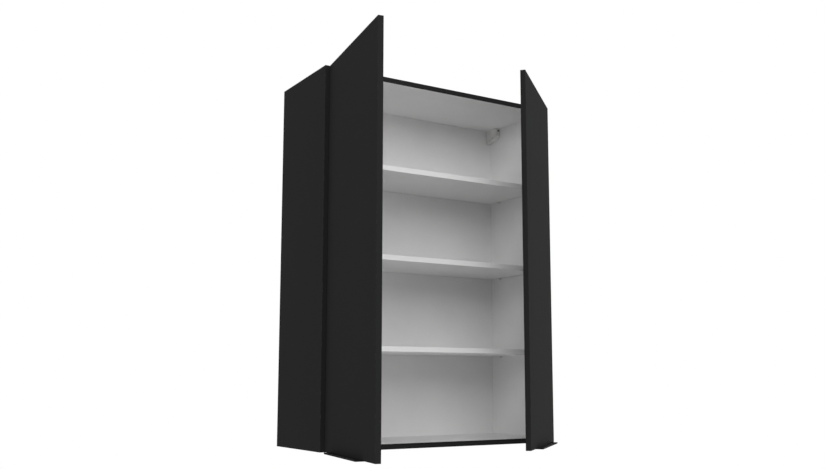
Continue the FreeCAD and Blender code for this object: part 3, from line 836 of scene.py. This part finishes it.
class ScrewTree(GeometryGraph):
    """Cross-head screws: a head with a cut cross recess, and a plain shank."""

    HEAD_SIDES: int = 36
    SHANK_SIDES: int = 20
    SHANK_START: float = -0.6  # top of the shank in the head, as a share of the head's depth

    def __init__(self) -> None:
        """Build the tree."""
        super().__init__("cross_head_screws")
        top = self.size("Top Radius")
        foot = self.size("Foot Radius")
        depth = self.size("Head Depth")
        shank = self.size("Shank Radius")
        length = self.size("Shank Length")
        reach = self.size("Recess Reach")
        width = self.size("Recess Width")
        sink = self.size("Recess Depth")
        spin = self.size("Spin")
        material = self.size("Material", "NodeSocketMaterial")
        cone = self.node("GeometryNodeMeshCone", {
            "Vertices": self.HEAD_SIDES, "Radius Top": top, "Radius Bottom": foot, "Depth": depth})
        head = self.raised(cone.outputs["Mesh"], self.times(depth, -1.0))
        rod = self.node("GeometryNodeMeshCylinder", {
            "Vertices": self.SHANK_SIDES, "Radius": shank, "Depth": length})
        start = self.times(depth, self.SHANK_START)
        middle = self.math("ADD", self.times(length, -0.5), start)
        body = self.raised(rod.outputs["Mesh"], middle)
        tall = self.times(sink, 2.0)
        span = self.times(reach, 2.0)
        along = self.node("GeometryNodeMeshCube", {"Size": self.vector(span, width, tall)})
        across = self.node("GeometryNodeMeshCube", {"Size": self.vector(width, span, tall)})
        cut = self.node(
            "GeometryNodeMeshBoolean", {"Mesh 1": head}, operation="DIFFERENCE", solver="EXACT")
        recessed = self.merge(cut, "Mesh 2", along.outputs["Mesh"], across.outputs["Mesh"])
        screw = self.merge(self.node("GeometryNodeJoinGeometry"), "Geometry", recessed, body)
        self.set_on_points(screw, spin, material)


class DomeTree(GeometryGraph):
    """Low domes with a flat foot, for rivet heads and bumpers."""

    SEGMENTS: int = 32
    RINGS: int = 48
    BLOCK_SHARE: float = 3.0  # width of the block that keeps the dome, in radii of the foot

    def __init__(self) -> None:
        """Build the tree."""
        super().__init__("low_domes")
        foot = self.size("Foot Radius")
        height = self.size("Height")
        spin = self.size("Spin")
        material = self.size("Material", "NodeSocketMaterial")
        foot_square = self.times(foot, foot)
        squares = self.math("ADD", foot_square, self.times(height, height))
        radius = self.math("DIVIDE", squares, self.times(height, 2.0))
        ball = self.node("GeometryNodeMeshUVSphere", {
            "Segments": self.SEGMENTS, "Rings": self.RINGS, "Radius": radius})
        sunk = self.raised(ball.outputs["Mesh"], self.math("SUBTRACT", height, radius))
        wide = self.times(foot, self.BLOCK_SHARE)
        tall = self.times(height, 2.0)
        block = self.node("GeometryNodeMeshCube", {"Size": self.vector(wide, wide, tall)})
        above = self.raised(block.outputs["Mesh"], height)
        cap = self.node("GeometryNodeMeshBoolean", operation="INTERSECT", solver="EXACT")
        self.set_on_points(self.merge(cap, "Mesh 2", sunk, above), spin, material)


def clusters(node: Object, reach: float = 16.0 * MM) -> list[list[Vector]]:
    """Group a node's corners into its separate small solids.

    Args:
        node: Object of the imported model.
        reach: Largest distance between a corner and its solid's first corner.

    Returns:
        One list of corners for each solid.
    """
    groups: list[list[Vector]] = []
    for vertex in node.data.vertices:
        home = next((group for group in groups if (group[0] - vertex.co).length < reach), None)
        if home is None:
            groups.append([vertex.co.copy()])
        else:
            home.append(vertex.co.copy())
    return groups


def centre_of(group: list[Vector]) -> Vector:
    """Find the middle of the box round some corners.

    Args:
        group: The corners.

    Returns:
        The middle.
    """
    low = Vector([min(corner[axis] for corner in group) for axis in range(3)])
    high = Vector([max(corner[axis] for corner in group) for axis in range(3)])
    return (low + high) / 2


def dress(node: Object, material: Material) -> None:
    """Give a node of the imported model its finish.

    Args:
        node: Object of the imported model.
        material: Finish to show.
    """
    if not node.material_slots:
        node.data.materials.append(material)
    for slot in node.material_slots:
        slot.material = material


@dataclass
class ScrewSet:
    """Screws of one kind that share a body, with a recess in shares of the head's sizes.

    The heads face outward, or towards the cabinet's middle along X where that is None. The reach
    parts the node's corners into screws, and the lift is how far a head stands above its solid.
    """

    name: str
    node: str
    body: str
    form: ScrewForm
    radius: float
    depth: float
    shank: float
    length: float
    reach: float
    lift: float = 0.0
    outward: Vector | None = None
    pan_top: float = 0.86
    recess_reach: float = 0.58
    recess_width: float = 0.24
    recess_depth: float = 0.62

    def build(self, tree: ScrewTree, material: Material, frame: Frame) -> None:
        """Build the screws in place of their plain solids.

        Args:
            tree: Screw tree.
            material: Finish of the screws.
            frame: The loaded frame.
        """
        points, facings = [], []
        for group in clusters(frame["nodes"][self.node], self.reach):
            centre = centre_of(group)
            inward = Vector((-math.copysign(1.0, centre.x), 0.0, 0.0))
            facing = inward if self.outward is None else self.outward
            top = max(corner.dot(facing) for corner in group)
            points.append(centre + facing * (top + self.lift - centre.dot(facing)))
            facings.append(facing)
        sunk = self.form is ScrewForm.SUNK
        made = tree.run(self.name, points, facings, {
            "Top Radius": self.radius if sunk else self.pan_top * self.radius,
            "Foot Radius": self.shank if sunk else self.radius,
            "Head Depth": self.depth,
            "Shank Radius": self.shank,
            "Shank Length": self.length,
            "Recess Reach": self.recess_reach * self.radius,
            "Recess Width": self.recess_width * self.radius,
            "Recess Depth": self.recess_depth * self.depth,
            "Spin": math.pi,
            "Material": material,
        })
        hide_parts(self.node)
        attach(made, self.body)
        LOG.info("%s: %d screws", self.name, len(points))


@dataclass
class FoldedGrip:
    """A door's grip: sheet metal folded round the lower edge, with a projecting flange and lip.

    The section's sizes are depths and heights in the shut door's plan.
    """

    stance: DoorStance
    start: float = 62.0 * MM
    length: float = 250.0 * MM
    rear: float = 2.0 * MM
    tip: float = 37.0 * MM
    door_face: float = 17.2 * MM
    base: float = -537.2 * MM
    leg: float = 19.2 * MM
    lip: float = 5.0 * MM
    sheet: float = 1.2 * MM
    bend: float = 1.7 * MM
    steps: int = 6

    def outline(self) -> list[Pair]:
        """Trace the folded section's outer and inner line.

        Returns:
            Points of the closed line, as depth and height.
        """
        inner, half = self.bend - self.sheet, self.sheet / 2
        heel, toe = self.rear + self.bend, self.tip - self.bend
        back, down, ahead = math.pi, 1.5 * math.pi, 2.0 * math.pi
        return [
            (self.rear, self.leg),
            *self.arc(heel, self.bend, self.bend, back, down),
            *self.arc(toe, self.bend, self.bend, down, ahead),
            *self.arc(self.tip - half, self.lip - half, half, 0.0, back),
            *self.arc(toe, self.bend, inner, ahead, down),
            *self.arc(heel, self.bend, inner, down, back),
            (self.rear + self.sheet, self.leg),
        ]

    def arc(self, y: float, z: float, radius: float, start: float, end: float) -> list[Pair]:
        """Points of an arc in the section, about a centre and between two angles."""
        turns = [start + (end - start) * step / self.steps for step in range(self.steps + 1)]
        return [(y + radius * math.cos(turn), z + radius * math.sin(turn)) for turn in turns]

    def cap_faces(self, count: int) -> list[list[int]]:
        """Faces that close one end of the folded section, as a chain of quads.

        Args:
            count: Number of points in the section.

        Returns:
            Corner numbers of each face.
        """
        arc = self.steps + 1
        outer = list(range(0, 1 + 2 * arc))
        nose = list(range(1 + 2 * arc, 1 + 3 * arc))
        inner = list(range(1 + 3 * arc, count))[::-1]
        quads = [[outer[i], inner[i], inner[i + 1], outer[i + 1]] for i in range(len(outer) - 1)]
        quads.append([outer[-1], inner[-1], *nose[::-1]])
        return quads

    def end_plates(self) -> list[Matrix]:
        """Place the thin plates that close the trough's ends.

        Returns:
            Place and size of each plate, for a unit cube.
        """
        front, back = self.tip - self.sheet, self.door_face
        top, foot = self.lip - self.sheet / 2, self.sheet / 2
        size = Matrix.Diagonal((self.sheet, front - back, top - foot, 1.0))
        inset = self.sheet / 2
        places = []
        for x in (self.start + inset, self.start + self.length - inset):
            middle = Vector((x, (front + back) / 2, self.base + (top + foot) / 2))
            places.append(self.stance.matrix() @ Matrix.Translation(middle) @ size)
        return places

    def close(self, mesh: Mesh) -> None:
        """Add the end plates to the folded sheet and turn all faces outwards.

        Args:
            mesh: Mesh of the folded sheet.
        """
        work = bmesh.new()
        work.from_mesh(mesh)
        bmesh.ops.remove_doubles(work, verts=work.verts, dist=WELD_DISTANCE)
        for plate in self.end_plates():
            bmesh.ops.create_cube(work, size=1.0, matrix=plate)
        bmesh.ops.recalc_face_normals(work, faces=work.faces)
        work.to_mesh(mesh)
        work.free()

    def build(self, material: Material) -> None:
        """Build the grip in place of its plain solid.

        Args:
            material: Finish of the grip.
        """
        side = self.stance.side.value
        loop = self.outline()
        count = len(loop)
        ends = (self.start, self.start + self.length)
        corners = [Vector((x, y, self.base + z)) for x in ends for y, z in loop]
        faces = [[i, (i + 1) % count, count + (i + 1) % count, count + i] for i in range(count)]
        caps = self.cap_faces(count)
        faces += caps + [[count + i for i in reversed(cap)] for cap in caps]
        mesh = bpy.data.meshes.new(f"{side}_folded_grip")
        mesh.from_pydata([tuple(self.stance.matrix() @ corner) for corner in corners], [], faces)
        self.close(mesh)
        smooth(mesh)
        mesh.materials.append(material)
        made = add_object(mesh.name, mesh)
        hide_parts(f"{side}_grip")
        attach(made, f"{side}_door_leaf")
        LOG.info("%s: folded from %.1f mm sheet", made.name, self.sheet / MM)


def board_finishes(shelf_gloss: float = 0.25) -> dict[str, BoardFinish]:
    """List the finishes of the fixed boards.

    Args:
        shelf_gloss: Gloss of the shelves.

    Returns:
        The finish of each board's node.
    """
    finishes = {
        "left_side_panel": BoardFinish("left_side_board", Tone.DARK, (
            (Face.RIGHT, Tone.PALE), (Face.REAR, Tone.CORE)), Face.FRONT),
        "right_side_panel": BoardFinish("right_side_board", Tone.DARK, (
            (Face.LEFT, Tone.PALE), (Face.REAR, Tone.CORE)), Face.FRONT),
        "top_panel": BoardFinish(
            "top_board", Tone.DARK, ((Face.UNDER, Tone.PALE),), Face.FRONT),
        "bottom_panel": BoardFinish(
            "bottom_board", Tone.DARK, ((Face.OVER, Tone.PALE),), Face.FRONT),
        "back_panel": BoardFinish("back_board", Tone.HARDBOARD, ((Face.FRONT, Tone.PALE),)),
    }
    for shelf in ("lower_shelf", "middle_shelf", "upper_shelf"):
        finishes[shelf] = BoardFinish(f"{shelf}_board", Tone.PALE, gloss=shelf_gloss)
    return finishes


@dataclass
class Carcass:
    """The fixed boards, their hardware and the screws in them."""

    frame: Frame
    screw_tree: ScrewTree
    finishes: dict[str, Material]
    boards: dict[str, BoardFinish] = field(default_factory=board_finishes)

    def dress_boards(self) -> None:
        """Give every board its finish."""
        for node, finish in self.boards.items():
            low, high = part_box(node)
            dress(self.frame["nodes"][node], finish.material(low, high))
            LOG.info("%s: %s", node, finish.name)

    def dress_hardware(self) -> None:
        """Give the pins, cams, dowels and hanger pieces their finishes."""
        kinds = {
            "shelf_pins": "plastic", "cam_bolts": "zinc",
            "cam_locks": "die_cast", "wooden_dowels": "beech",
        }
        # the hanger's carriage and screws are dark grey partly for their phosphate coat and partly
        # as painted shade in the hollow of the housing
        hanger = {
            "housing": "plastic", "carriage": "phosphate_and_hollow_shade", "hook": "zinc",
            "depth_screw": "phosphate_and_hollow_shade", "height_screw": "phosphate_and_hollow_shade",
        }
        for side in Side:
            kinds |= {f"{side.value}_hanger_{piece}": kind for piece, kind in hanger.items()}
        for node, kind in kinds.items():
            dress(self.frame["nodes"][node], self.finishes[kind])
            LOG.info("%s: %s", node, kind)

    def build_screws(self) -> None:
        """Build the screws in the boards."""
        sets = (
            ScrewSet(
                "plate_screws", "hinge_plate_screws", "carcass", ScrewForm.PAN, radius=4.2 * MM,
                depth=1.5 * MM, shank=2.5 * MM, length=13.0 * MM, reach=20.0 * MM),
            ScrewSet(
                "arm_clamp_screws", "hinge_arm_screws", "carcass", ScrewForm.PAN, radius=3.6 * MM,
                depth=1.6 * MM, shank=2.0 * MM, length=15.0 * MM, reach=25.0 * MM),
            ScrewSet(
                "housing_screws", "hanger_housing_screws", "carcass", ScrewForm.PAN,
                radius=3.2 * MM, depth=2.0 * MM, shank=1.7 * MM, length=24.0 * MM,
                reach=29.0 * MM),
            ScrewSet(
                "back_screws", "back_panel_screws", "carcass", ScrewForm.SUNK, radius=2.8 * MM,
                depth=1.6 * MM, shank=1.5 * MM, length=11.0 * MM, reach=20.0 * MM,
                outward=Vector((0.0, 1.0, 0.0))),
        )
        for screws in sets:
            screws.build(self.screw_tree, self.finishes["zinc"], self.frame)

    def build(self) -> None:
        """Build and dress the whole carcass."""
        self.dress_boards()
        self.dress_hardware()
        self.build_screws()


@dataclass
class Door:
    """A door leaf with its grip, bumpers, screws and hinges, sized in the shut door's plan.

    Rivets lie at an inset from the cabinet's side and a setback from its front.
    """

    frame: Frame
    stance: DoorStance
    screw_tree: ScrewTree
    dome_tree: DomeTree
    finishes: dict[str, Material]
    low: Point = (2.0 * MM, 2.0 * MM, -536.0 * MM)
    high: Point = (398.5 * MM, 17.0 * MM, 536.0 * MM)
    gloss: float = 0.005
    bumper_radius: float = 4.5 * MM
    bumper_height: float = 1.5 * MM
    rivet_radius: float = 1.7 * MM
    rivet_height: float = 0.5 * MM
    rivet_places: tuple[Pair, ...] = ((38.39 * MM, 15.88 * MM), (45.0 * MM, 17.5 * MM))
    hinge_places: tuple[str, ...] = ("lower", "middle", "upper")
    hinge_pieces: tuple[str, ...] = ("arm", "cup", "outer_link", "inner_link")

    @property
    def side(self) -> str:
        """Name of the door's side."""
        return self.stance.side.value

    def inward(self) -> Vector:
        """Direction out of the door's inner face."""
        return (self.stance.matrix().to_3x3() @ Vector((0.0, -1.0, 0.0))).normalized()

    def dress_leaf(self) -> None:
        """Give the door its finish."""
        # the door board is the dark tone painted a little lighter, as painted light on the doors
        finish = BoardFinish(
            f"{self.side}_door_board", Tone.DOOR, gloss=self.gloss, stance=self.stance)
        material = finish.material(Vector(self.low), Vector(self.high))
        dress(self.frame["nodes"][f"{self.side}_door"], material)
        LOG.info("%s_door: %s", self.side, finish.name)

    def build_bumpers(self) -> None:
        """Build the soft bumpers in place of their plain solids."""
        node = f"{self.side}_bumpers"
        facing = self.inward()
        foot = facing * self.bumper_height / 2
        points = [centre_of(group) - foot for group in clusters(self.frame["nodes"][node])]
        made = self.dome_tree.run(f"{self.side}_soft_bumpers", points, [facing] * len(points), {
            "Foot Radius": self.bumper_radius, "Height": self.bumper_height,
            "Spin": 0.0, "Material": self.finishes["rubber"]})
        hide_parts(node)
        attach(made, f"{self.side}_door_leaf")
        LOG.info("%s: %d bumpers", made.name, len(points))

    def build_screws(self) -> None:
        """Build the wood screws of the hinge cups and the grip."""
        screws = ScrewSet(
            f"{self.side}_wood_screws", f"{self.side}_door_screws", f"{self.side}_door_leaf",
            ScrewForm.SUNK, radius=3.0 * MM, depth=1.0 * MM, shank=1.6 * MM, length=8.5 * MM,
            reach=16.0 * MM, lift=0.12 * MM, outward=self.inward())
        screws.build(self.screw_tree, self.finishes["zinc"], self.frame)

    def dress_hinges(self) -> None:
        """Give the hinge pieces their finish."""
        nodes = [f"{self.side}_hinge_plates"]
        for place in self.hinge_places:
            nodes += [f"{self.side}_{place}_hinge_{piece}" for piece in self.hinge_pieces]
        for node in nodes:
            dress(self.frame["nodes"][node], self.finishes["nickel"])
        LOG.info("%s hinges: %d nodes", self.side, len(nodes))

    def build_rivets(self) -> None:
        """Build the rivet heads above and below the hinge arms."""
        points, facings = [], []
        up = Vector((0.0, 0.0, 1.0))
        for place in self.hinge_places:
            low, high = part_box(f"{self.side}_{place}_hinge_arm")
            for inset, setback in self.rivet_places:
                x = self.stance.side.sign * (self.stance.half_width - inset)
                y = self.stance.front + setback
                points += [Vector((x, y, high.z)), Vector((x, y, low.z))]
                facings += [up, -up]
        made = self.dome_tree.run(f"{self.side}_hinge_rivets", points, facings, {
            "Foot Radius": self.rivet_radius, "Height": self.rivet_height,
            "Spin": 0.0, "Material": self.finishes["nickel"]})
        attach(made, "carcass")
        LOG.info("%s: %d rivet heads", made.name, len(points))

    def build(self) -> None:
        """Build and dress the whole door."""
        self.dress_leaf()
        FoldedGrip(self.stance).build(self.finishes["grip"])
        self.build_bumpers()
        self.build_screws()
        self.dress_hinges()
        self.build_rivets()


@dataclass(frozen=True)
class Lamp:
    """A soft rectangular lamp: where it stands and points, its size, and its power in watts."""

    name: str
    place: Point
    target: Point
    size: Pair
    power: float

    def build(self) -> None:
        """Add the lamp to the scene."""
        data = bpy.data.lights.new(self.name, "AREA")
        data.shape = "RECTANGLE"
        data.size, data.size_y = self.size
        data.energy = self.power
        made = add_object(self.name, data)
        made.location = self.place
        aim = Vector(self.target) - Vector(self.place)
        made.rotation_euler = aim.to_track_quat("-Z", "Y").to_euler()


@dataclass
class Studio:
    """Camera with angles in degrees, lamps, white surroundings and a pale floor far below."""

    camera_place: Point = (-1.50184, -2.5574, -0.34934)
    yaw: float = 32.13405
    pitch: float = 7.80819
    focal_pixels: float = 921.2595
    image_width: float = 825.0
    sensor_width: float = 36.0
    shift: Pair = (-0.01217, 0.025)
    ambient: float = 0.69
    floor_level: float = -3.3
    floor_radius: float = 7.0
    floor_sides: int = 96
    floor_fade: Pair = (0.3, 0.95)
    floor_colour: Colour = (0.86, 0.86, 0.86)
    floor_roughness: float = 0.8
    floor_gloss: float = 0.1
    lamps: tuple[Lamp, ...] = (
        Lamp("key", (-1.85, -3.8, 1.85), (0.0, -0.2, -0.1), (3.0, 2.4), 91.0),
        Lamp("left_fill", (-4.0, -1.2, 1.0), (0.0, -0.2, 0.0), (2.5, 2.5), 7.0),
        Lamp("right_fill", (3.2, -3.0, 1.2), (0.2, -0.3, 0.0), (2.5, 2.5), 50.0),
    )

    def build_camera(self) -> None:
        """Set the camera where the photograph was taken."""
        data = bpy.data.cameras.new("camera")
        data.sensor_width = self.sensor_width
        data.lens = self.focal_pixels / self.image_width * self.sensor_width
        data.shift_x, data.shift_y = self.shift
        made = add_object("camera", data)
        made.location = self.camera_place
        made.rotation_euler = (math.radians(90.0 + self.pitch), 0.0, math.radians(-self.yaw))
        bpy.context.scene.camera = made

    def build_world(self) -> None:
        """White to the camera and in reflections, softer as the light on the cabinet."""
        world = bpy.data.worlds.new("surroundings")
        world.use_nodes = True
        world.node_tree.nodes.clear()
        graph = NodeGraph(world.node_tree)
        soft, white = (
            graph.node("ShaderNodeBackground", {"Color": WHITE, "Strength": strength}).outputs[0]
            for strength in (self.ambient, 1.0)
        )
        mix = graph.node("ShaderNodeMixShader", {0: graph.seen(), 1: soft, 2: white})
        graph.node("ShaderNodeOutputWorld", {"Surface": mix.outputs[0]})
        bpy.context.scene.world = world

    def floor_material(self) -> Material:
        """Build the floor's finish, which fades to white towards the rim.

        Returns:
            The material.
        """
        graph = ShaderGraph("pale_floor")
        inputs = {0: graph.place(), 1: (1.0, 1.0, 0.0)}
        flat = graph.node("ShaderNodeVectorMath", inputs, operation="MULTIPLY").outputs[0]
        reach = graph.node("ShaderNodeVectorMath", {0: flat}, operation="LENGTH").outputs["Value"]
        start, end = self.floor_fade
        rim = graph.ease(reach, (start * self.floor_radius, end * self.floor_radius))
        graph.surface(
            Base_Color=self.floor_colour,
            Roughness=self.floor_roughness,
            Specular_IOR_Level=self.floor_gloss,
        )
        mix = graph.node("ShaderNodeMixShader", {
            0: graph.times(rim, graph.seen()),
            1: graph.shader.outputs["BSDF"],
            2: graph.node("ShaderNodeEmission").outputs[0],
        })
        graph.feed(graph.output.inputs["Surface"], mix.outputs[0])
        return graph.material

    def build_floor(self) -> None:
        """Lay the round floor."""
        ring = []
        for step in range(self.floor_sides):
            turn = 2.0 * math.pi * step / self.floor_sides
            x, y = self.floor_radius * math.cos(turn), self.floor_radius * math.sin(turn)
            ring.append((x, y, self.floor_level))
        mesh = bpy.data.meshes.new("floor")
        mesh.from_pydata(ring, [], [list(range(self.floor_sides))])
        mesh.materials.append(self.floor_material())
        made = add_object("floor", mesh)

    def build(self) -> None:
        """Set up the whole studio."""
        bpy.context.scene.view_settings.view_transform = "Standard"
        self.build_camera()
        self.build_world()
        self.build_floor()
        for lamp in self.lamps:
            lamp.build()


def shared_finishes() -> dict[str, Material]:
    """Build the finishes that several pieces share.

    Returns:
        The materials by short name.
    """
    finishes = {
        "nickel": PlatedSteel("nickel_plate", (0.66, 0.64, 0.61), 0.27),
        "zinc": PlatedSteel("zinc_plate", (0.6, 0.61, 0.64), 0.34),
        "die_cast": PlatedSteel("die_cast_zinc", (0.33, 0.33, 0.34), 0.52),
        "plastic": MouldedPlastic("white_moulding", (0.78, 0.78, 0.765)),
        "grip": CoatedMetal("black_matt_coat", (0.009, 0.009, 0.009), (0.02, 0.02, 0.02)),
        # dark grey partly for a phosphate coat and partly as painted shade inside the hanger
        # housing
        "phosphate_and_hollow_shade": PlatedSteel("dark_phosphate", (0.26, 0.26, 0.27), 0.5),
        "rubber": SoftRubber("clear_rubber", (0.6, 0.6, 0.58)),
        "beech": TurnedWood("turned_beech", (0.62, 0.43, 0.26), (0.46, 0.29, 0.15)),
    }
    return {name: finish.material() for name, finish in finishes.items()}


def main() -> None:
    """Build the cabinet's looks and the studio round it."""
    logging.basicConfig(level=logging.INFO, format="%(name)s %(message)s")
    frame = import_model()
    finishes = shared_finishes()
    screw_tree, dome_tree = ScrewTree(), DomeTree()
    Carcass(frame, screw_tree, finishes).build()
    for stance in (DoorStance(Side.LEFT, 99.4), DoorStance(Side.RIGHT, 41.0)):
        Door(frame, stance, screw_tree, dome_tree, finishes).build()
    Studio().build()


if __name__ == "__main__":
    main()
